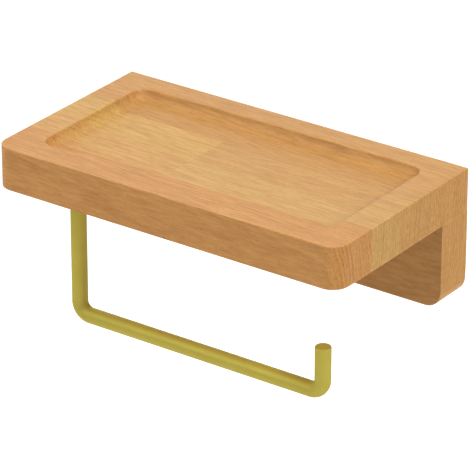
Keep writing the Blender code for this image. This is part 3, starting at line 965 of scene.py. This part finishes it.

# %% [markdown]
# ### What beech shows
#
# Beech has faint yearly layers, each ending in a slightly darker line; a fine even fibre; and its mark
# among woods, the rays. A ray is a thin ribbon that runs out from the pith. It shows as a short brown
# dash on a face cut along the layers and as a pale sheen on a face cut through them. Because the rays
# live in the tree's own coordinates, one stretched cell pattern draws them on every face; the material
# shows them all as brown dashes.

# %% Group: beech figure
beech_figure, given, result = start_group(
    "beech_figure",
    [
        ("Tree Position", VECTOR, None),
        ("Radius", NUMBER, 0.0),
        ("Ring Width", NUMBER, 2.4),
        ("Seed", NUMBER, 0.0),
    ],
    [("Late Wood", NUMBER), ("Fibre", NUMBER), ("Broad Tone", NUMBER), ("Ray", NUMBER), ("Pores", NUMBER)],
)
wobble = cloud(beech_figure, given["Tree Position"], (0.004, 0.16, 0.004), 1.0, 0.5, given["Seed"])
stretched = plus(beech_figure, given["Radius"], times(beech_figure, wobble, 5.0))
fine_wave = cloud(beech_figure, given["Tree Position"], (0.05, 0.25, 0.12), 2.0, 0.5, given["Seed"])
stretched = plus(beech_figure, stretched, times(beech_figure, fine_wave, 1.1))
rings = calc(beech_figure, "DIVIDE", stretched, given["Ring Width"])
within = calc(beech_figure, "FRACT", rings)
growing = fade(beech_figure, within, 0.15, 0.90)
ending = fade(beech_figure, within, 0.90, 1.0, 1.0, 0.0)
ring_number = calc(beech_figure, "FLOOR", rings)
strength = beech_figure.nodes.new("ShaderNodeTexWhiteNoise")
strength.noise_dimensions = "1D"
feed(beech_figure, strength.inputs["W"], plus(beech_figure, ring_number, given["Seed"]))
strong = calc(beech_figure, "MULTIPLY_ADD", strength.outputs["Value"], 0.75, 0.25)
late = times(beech_figure, times(beech_figure, growing, ending), strong)
feed(beech_figure, result["Late Wood"], late)

fibre = cloud(beech_figure, given["Tree Position"], (0.075, 1.1, 0.9), 4.0, 0.66, given["Seed"])
feed(beech_figure, result["Fibre"], fade(beech_figure, fibre, 0.3, 0.7))
broad = cloud(beech_figure, given["Tree Position"], (0.012, 0.11, 0.06), 3.0, 0.5, given["Seed"])
feed(beech_figure, result["Broad Tone"], fade(beech_figure, broad, 0.3, 0.7))

cells = beech_figure.nodes.new("ShaderNodeTexVoronoi")
cells.voronoi_dimensions = "3D"
cells.inputs["Scale"].default_value = 1.0
cells.inputs["Randomness"].default_value = 1.0
cell_place = aim(beech_figure, "MULTIPLY", given["Tree Position"], (0.30, 0.60, 1.05))
feed(beech_figure, cells.inputs["Vector"], cell_place)
feed(beech_figure, result["Ray"], fade(beech_figure, cells.outputs["Distance"], 0.18, 0.34, 1.0, 0.0))
pores = cloud(beech_figure, given["Tree Position"], (0.30, 8.0, 8.0), 2.0, 0.5, given["Seed"])
feed(beech_figure, result["Pores"], fade(beech_figure, pores, 0.56, 0.68))
print("group", beech_figure.name, "has", len(beech_figure.nodes), "nodes")

# %% [markdown]
# ### Worn edges, and a painted edge highlight on the board
#
# Sanding and handling touch an edge first. A sharp edge is found with the Bevel node, which gives the
# direction that a face would have if its edges were rounded by a chosen radius: where that differs from
# the real direction, an edge is near. A board's edge that is rounded already is found from the mesh.
# Its faces lean between upright and level, and Geometry's Pointiness is above a half there, because
# they curve outwards, which leaves out the hollow coves. On the board the band is partly wear and partly
# a painted highlight: it paints the fine light line that a lamp draws along a rounded arris, such as
# the tray's rim. Round bars and screws lean everywhere, so for them Rounded Edges stays at 0. The larger
# of the two masks is used, and a little noise breaks the band up, so that it doesn't look drawn with a
# ruler.

# %% Group: worn edge and painted edge highlight
edge_wear_and_highlight, given, result = start_group(
    "edge_wear_and_highlight",
    [
        ("Position", VECTOR, None),
        ("Width", NUMBER, 0.0012),
        ("Patches", NUMBER, 0.6),
        ("Rounded Edges", NUMBER, 0.0),
    ],
    [("Edge", NUMBER)],
)
rounded = edge_wear_and_highlight.nodes.new("ShaderNodeBevel")
rounded.samples = 6
feed(edge_wear_and_highlight, rounded.inputs["Radius"], given["Width"])
facing = edge_wear_and_highlight.nodes.new("ShaderNodeNewGeometry")
agree = aim(edge_wear_and_highlight, "DOT_PRODUCT", rounded.outputs[0], facing.outputs["Normal"])
sharp_edge = fade(edge_wear_and_highlight, agree, 0.995, 0.86)
own_side = edge_wear_and_highlight.nodes.new("ShaderNodeTexCoord")
own_facing = edge_wear_and_highlight.nodes.new("ShaderNodeSeparateXYZ")
feed(edge_wear_and_highlight, own_facing.inputs[0], own_side.outputs["Normal"])
lean = calc(edge_wear_and_highlight, "ABSOLUTE", own_facing.outputs["Z"])
# painted highlight: the rounded arrises found here are paled on the board, partly as wear and partly to
# paint a lamp's light line along them
leaning = times(edge_wear_and_highlight, fade(edge_wear_and_highlight, lean, 0.10, 0.35), fade(edge_wear_and_highlight, lean, 0.99, 0.93))
outward = fade(edge_wear_and_highlight, facing.outputs["Pointiness"], 0.502, 0.515)
round_edge = times(edge_wear_and_highlight, leaning, outward)
round_edge = times(edge_wear_and_highlight, round_edge, given["Rounded Edges"])
edge = calc(edge_wear_and_highlight, "MAXIMUM", sharp_edge, round_edge)
patch = cloud(edge_wear_and_highlight, given["Position"], (0.22, 0.22, 0.22), 3.0, 0.6)
patch = fade(edge_wear_and_highlight, patch, 0.32, 0.6)
keep = minus(edge_wear_and_highlight, 1.0, given["Patches"])
patch = plus(edge_wear_and_highlight, keep, times(edge_wear_and_highlight, patch, given["Patches"]))
feed(edge_wear_and_highlight, result["Edge"], times(edge_wear_and_highlight, edge, patch))
print("group", edge_wear_and_highlight.name, "has", len(edge_wear_and_highlight.nodes), "nodes")


def rub_edges(tree, colour, position, width, patches, amount, rubbed):
    """Shows the rubbed colour in a band along sharp edges that is width millimetres wide."""
    edge = place_group(tree, edge_wear_and_highlight, Position=position, Width=width * MM, Patches=patches)["Edge"]
    return blend(tree, times(tree, edge, amount), colour, rubbed)

# %% [markdown]
# ### Staves
#
# A wide board of beech is glued up from narrow staves, and two of them here are made of two lengths
# joined end to end. Every stave comes from another place in another tree, so each has its own pith,
# layer width and tint. A colour ramp that changes in steps is a handy table: the stave's number goes in
# and the stave's own values come out. A second table holds the tints.

# %% Staves: joints, cuts and tints
STAVE_JOINTS = (-82.4, -59.5, -34.0)
END_JOINT = -18.5
# each stave: pith y, pith z and layer width in millimetres, and its tint in linear colour
# counting from 0, rows 1 and 2 have their other lengths in rows 5 and 6
NO_STAVE = (0.0, 0.0, 2.5, (0.500, 0.260, 0.075))
STAVES = (
    (-260.0, -2.0, 2.2, (0.502, 0.242, 0.066)),
    (-255.0, 44.0, 2.0, (0.500, 0.286, 0.084)),
    (140.0, 22.0, 1.9, (0.488, 0.260, 0.074)),
    (-225.0, 30.0, 2.1, (0.487, 0.247, 0.067)),
    NO_STAVE,
    (-150.0, -60.0, 2.2, (0.516, 0.281, 0.080)),
    (-130.0, -80.0, 2.4, (0.516, 0.296, 0.078)),
    NO_STAVE,
)
# a table's values lie between 0 and 1, so places up to REACH either way and widths up to WIDEST are scaled
REACH, WIDEST = 300.0, 6.0
SEED_STEP = 3.7


def table(tree, number, rows):
    """A stepped colour ramp that returns row number of rows."""
    ramp = tree.nodes.new("ShaderNodeValToRGB")
    ramp.color_ramp.interpolation = "CONSTANT"
    stops = ramp.color_ramp.elements
    while len(stops) < len(rows):
        stops.new(1.0)
    for index, (stop, row) in enumerate(zip(stops, rows)):
        stop.position = index / len(rows)
        stop.color = (*row, 1.0)
    feed(tree, ramp.inputs[0], calc(tree, "DIVIDE", plus(tree, number, 0.5), float(len(rows))))
    return ramp.outputs["Color"]


def stave_number(tree, position):
    along, across, _ = split_vector(tree, position)
    number = calc(tree, "GREATER_THAN", across, STAVE_JOINTS[0])
    for joint in STAVE_JOINTS[1:]:
        number = plus(tree, number, calc(tree, "GREATER_THAN", across, joint))
    left = calc(tree, "LESS_THAN", along, END_JOINT)
    inner = calc(tree, "LESS_THAN", calc(tree, "ABSOLUTE", minus(tree, number, 1.5)), 1.0)
    return plus(tree, number, times(tree, times(tree, left, inner), 4.0))


def draw_beech(tree, position, pith_y, pith_z, width, taper, wander, seed):
    """Both groups in a row: where the point lies in the tree, then what beech shows there."""
    place = place_group(
        tree, tree_place, Position=position, Pith_Y=pith_y, Pith_Z=pith_z, Taper=taper, Wander=wander,
        Seed=seed,
    )
    return place_group(
        tree, beech_figure, Tree_Position=place["Tree Position"], Radius=place["Radius"], Ring_Width=width,
        Seed=seed,
    )


print("the board has", len(STAVE_JOINTS) + 1, "rows of staves")

# %% [markdown]
# ### The board's finish
#
# The board is finely sanded and oiled. The tint of each stave is darkened in the late wood and along
# the fibre, the rays add small brown dashes, and the end grain drinks more oil, so it is deeper in
# colour. The gloss is low and follows the fibre, and fibre and pores give the surface a relief of a few
# hundredths of a millimetre.

# %% Material: glued and oiled beech
def wood_colour(tree, tint, figure, end_grain=0.0):
    """The stave's tint with its layers, fibre and rays. Layers show more on the end grain."""
    deep = multiplied(tree, tint, (0.70, 0.60, 0.46))
    layers = calc(tree, "MULTIPLY_ADD", end_grain, 0.30, 0.20)
    mask = times(tree, figure["Late Wood"], layers)
    mask = plus(tree, mask, calc(tree, "MULTIPLY_ADD", figure["Fibre"], 0.52, -0.31))
    mask = plus(tree, mask, calc(tree, "MULTIPLY_ADD", figure["Broad Tone"], 0.12, -0.02))
    mask = plus(tree, mask, times(tree, figure["Pores"], 0.12))
    pale = multiplied(tree, tint, (1.14, 1.15, 1.18))
    colour = blend(tree, plus(tree, mask, 0.35), pale, deep)
    dash = multiplied(tree, tint, (0.62, 0.48, 0.36))
    return blend(tree, times(tree, figure["Ray"], 0.24), colour, dash)


board_wood, tree, shader, position = new_material("oiled_beech")
number = stave_number(tree, position)
cuts = table(tree, number, [
    (pith_y / (2 * REACH) + 0.5, pith_z / (2 * REACH) + 0.5, width / WIDEST)
    for pith_y, pith_z, width, _ in STAVES
])
tints = table(tree, number, [tint for _, _, _, tint in STAVES])
cut_y, cut_z, cut_width = split_vector(tree, cuts)
pith_y, pith_z = (
    times(tree, minus(tree, cut, 0.5), 2 * REACH) for cut in (cut_y, cut_z)
)
layer_width = times(tree, cut_width, WIDEST)
seed = times(tree, number, SEED_STEP)
figure = draw_beech(tree, position, pith_y, pith_z, layer_width, 0.045, 5.0, seed)
edge = place_group(
    tree, edge_wear_and_highlight, Position=position, Width=0.0012, Patches=0.6, Rounded_Edges=1.0
)["Edge"]
facing = tree.nodes.new("ShaderNodeTexCoord").outputs["Normal"]
end_grain = fade(tree, calc(tree, "ABSOLUTE", split_vector(tree, facing)[0]), 0.55, 0.95)
colour = wood_colour(tree, tints, figure, end_grain)
colour = blend(tree, end_grain, colour, multiplied(tree, colour, (0.99, 0.99, 0.94)))
# painted highlight: the edge band is paled and cooled, partly as sanding wear and partly as a painted light
# line along the rounded rims
wear_and_highlight_colour = multiplied(tree, colour, (1.20, 1.22, 1.28))
colour = blend(tree, times(tree, edge, 0.8), colour, wear_and_highlight_colour)
gloss = calc(tree, "MULTIPLY_ADD", figure["Fibre"], 0.10, 0.50)
gloss = plus(tree, gloss, times(tree, figure["Pores"], 0.12))
gloss = minus(tree, gloss, times(tree, edge, 0.06))
set_sockets(tree, shader, Base_Color=colour, Roughness=gloss, Specular_IOR_Level=0.38)
height = minus(tree, times(tree, figure["Fibre"], 0.5), figure["Pores"])
add_relief(tree, shader, height, 0.6, 0.04)
dress(board_wood, board, rail)

# %% [markdown]
# ### The arm's finish
#
# The arm is coated in a greenish satin gold. The coat is thin and follows the bar, so the finish is an
# even, half metallic colour with a fine grain, a slow unevenness where hands have been, and slightly
# brighter metal at the cut tip's edge.

# %% Material: satin gold
gold, tree, shader, position = new_material("satin_gold")
grain = cloud(tree, position, (3.5, 3.5, 3.5), 3.0, 0.6)
smudge = fade(tree, cloud(tree, position, (0.035, 0.07, 0.07), 3.0, 0.55, 2.0), 0.3, 0.7)
colour = blend(tree, smudge, (0.505, 0.425, 0.080, 1.0), (0.465, 0.390, 0.072, 1.0))
colour = rub_edges(tree, colour, position, 0.5, 0.4, 0.8, (0.66, 0.56, 0.14, 1.0))
rough = calc(tree, "MULTIPLY_ADD", smudge, 0.07, 0.50)
rough = plus(tree, rough, times(tree, grain, 0.05))
set_sockets(tree, shader, Base_Color=colour, Roughness=rough, Metallic=0.35)
set_sockets(tree, shader, Specular_IOR_Level=0.2, Specular_Tint=(0.55, 0.48, 0.12, 1.0))
add_relief(tree, shader, grain, 0.35, 0.02)
dress(gold, arm)

# %% [markdown]
# ### Zinc plating
#
# The plates and their screws are steel with a thin bright coat of zinc. Zinc is a bluish grey metal
# whose coat comes out slightly uneven, a little yellow in places. Small parts are plated in a tumbling
# drum, so they are covered in fine scratches, and their edges are rubbed bright.

# %% Material: zinc plating
zinc, tree, shader, position = new_material("zinc_plating")
blotch = fade(tree, cloud(tree, position, (0.28, 0.28, 0.28), 3.0, 0.55, 4.0), 0.35, 0.65)
scratch = fade(tree, cloud(tree, position, (0.5, 3.0, 9.0), 2.0, 0.6, 7.0), 0.58, 0.70)
tumbled = cloud(tree, position, (4.0, 4.0, 4.0), 3.0, 0.6, 9.0)
colour = blend(tree, blotch, (0.56, 0.58, 0.61, 1.0), (0.62, 0.60, 0.53, 1.0))
colour = blend(tree, times(tree, scratch, 0.3), colour, (0.38, 0.39, 0.41, 1.0))
colour = rub_edges(tree, colour, position, 0.4, 0.5, 0.6, (0.80, 0.81, 0.82, 1.0))
rough = calc(tree, "MULTIPLY_ADD", blotch, 0.10, 0.30)
rough = plus(tree, rough, times(tree, scratch, 0.10))
set_sockets(tree, shader, Base_Color=colour, Roughness=rough, Metallic=1.0)
add_relief(tree, shader, minus(tree, tumbled, scratch), 0.4, 0.02)
dress(zinc, *plates.values(), *screws.values())

# %% [markdown]
# ### Marks that run round an axis
#
# A turned part shows fine circles from the tool, and a moulded washer shows those of its mould. The
# distance from the axis draws circles on a flat face, and the height draws rings on a round one, so
# their sum does both. Brass and nylon share this group.

# %% Group: marks round the swivel axis
round_marks, given, result = start_group(
    "round_marks",
    [("Position", VECTOR, None), ("Spacing", NUMBER, 0.3)],
    [("Marks", NUMBER)],
)
x, y, z = split_vector(round_marks, given["Position"])
from_x = minus(round_marks, x, SWIVEL.x / MM)
from_y = minus(round_marks, y, SWIVEL.y / MM)
path = plus(round_marks, diagonal(round_marks, from_x, from_y), z)
shake = cloud(round_marks, given["Position"], (0.6, 0.6, 0.6), 1.0, 0.5)
path = plus(round_marks, path, times(round_marks, shake, 0.15))
turns = calc(round_marks, "DIVIDE", path, given["Spacing"])
wave = calc(round_marks, "SINE", times(round_marks, turns, 2 * math.pi))
feed(round_marks, result["Marks"], calc(round_marks, "MULTIPLY_ADD", wave, 0.5, 0.5))
print("group", round_marks.name, "has", len(round_marks.nodes), "nodes")

# %% Material: turned brass
brass, tree, shader, position = new_material("turned_brass")
marks = place_group(tree, round_marks, Position=position, Spacing=0.3)["Marks"]
tarnish = fade(tree, cloud(tree, position, (0.35, 0.35, 0.35), 3.0, 0.6, 3.0), 0.40, 0.70)
colour = blend(tree, tarnish, (0.70, 0.52, 0.22, 1.0), (0.50, 0.33, 0.13, 1.0))
colour = blend(tree, times(tree, marks, 0.12), colour, (0.86, 0.70, 0.38, 1.0))
colour = rub_edges(tree, colour, position, 0.4, 0.5, 0.5, (0.88, 0.72, 0.40, 1.0))
rough = calc(tree, "MULTIPLY_ADD", tarnish, 0.18, 0.26)
set_sockets(tree, shader, Base_Color=colour, Roughness=rough, Metallic=1.0)
add_relief(tree, shader, marks, 0.5, 0.02)
dress(brass, frame["nodes"]["threaded_insert"])

# %% [markdown]
# ### Nylon
#
# Natural nylon is a creamy white that lets a little light in, which softens its shadows. The mould
# leaves very fine circles on it.

# %% Material: natural nylon
nylon, tree, shader, position = new_material("natural_nylon")
marks = place_group(tree, round_marks, Position=position, Spacing=0.45)["Marks"]
flow = fade(tree, cloud(tree, position, (0.16, 0.16, 0.3), 3.0, 0.5, 5.0), 0.3, 0.7)
colour = blend(tree, flow, (0.80, 0.77, 0.69, 1.0), (0.73, 0.69, 0.60, 1.0))
colour = rub_edges(tree, colour, position, 0.3, 0.5, 0.4, (0.88, 0.86, 0.80, 1.0))
rough = calc(tree, "MULTIPLY_ADD", flow, 0.10, 0.40)
set_sockets(tree, shader, Base_Color=colour, Roughness=rough)
set_sockets(tree, shader, Subsurface_Weight=0.15, Subsurface_Scale=0.8 * MM)
add_relief(tree, shader, plus(tree, marks, flow), 0.3, 0.02)
dress(nylon, washer)

# %% [markdown]
# ### Bare beech
#
# The dowels are beech too, but never oiled, so they are paler and duller, and their grain runs up the
# dowel instead of along the shelf. The same two groups draw it once the position is turned: its height
# is given as the way along the grain. The measured dowels have the right shape already, flutes and all,
# so they keep their mesh.

# %% Material: bare beech
bare_wood, tree, shader, position = new_material("bare_beech")
x, y, z = split_vector(tree, position)
figure = draw_beech(tree, pack_vector(tree, z, x, y), -160.0, -60.0, 1.8, 0.03, 2.0, 31.0)
colour = wood_colour(tree, (0.58, 0.38, 0.20, 1.0), figure)
colour = rub_edges(tree, colour, position, 0.4, 0.6, 0.4, (0.50, 0.31, 0.15, 1.0))
rough = calc(tree, "MULTIPLY_ADD", figure["Fibre"], 0.12, 0.66)
set_sockets(tree, shader, Base_Color=colour, Roughness=rough)
add_relief(tree, shader, minus(tree, figure["Fibre"], figure["Pores"]), 0.7, 0.06)
dress(bare_wood, *(frame["nodes"][node] for node in DOWELS))

# %% [markdown]
# ## Which piece moves with what
#
# Every piece is told which body it rides on. Only the arm turns; all the rest belongs to the holder,
# which hangs on the wall. The measured piece that each one stands for is hidden.

# %% Ride, and hide the measured pieces
def settle(piece, body, node):
    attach(piece, body)
    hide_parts(node)


settle(board, "holder", "tray_shelf")
settle(rail, "holder", "back_rail")
settle(arm, "arm", "roll_arm")
settle(washer, "holder", "friction_washer")
for side, piece in plates.items():
    settle(piece, "holder", "hanger_" + side)
for place, piece in screws.items():
    settle(piece, "holder", "screw_" + place)
deselect_all()
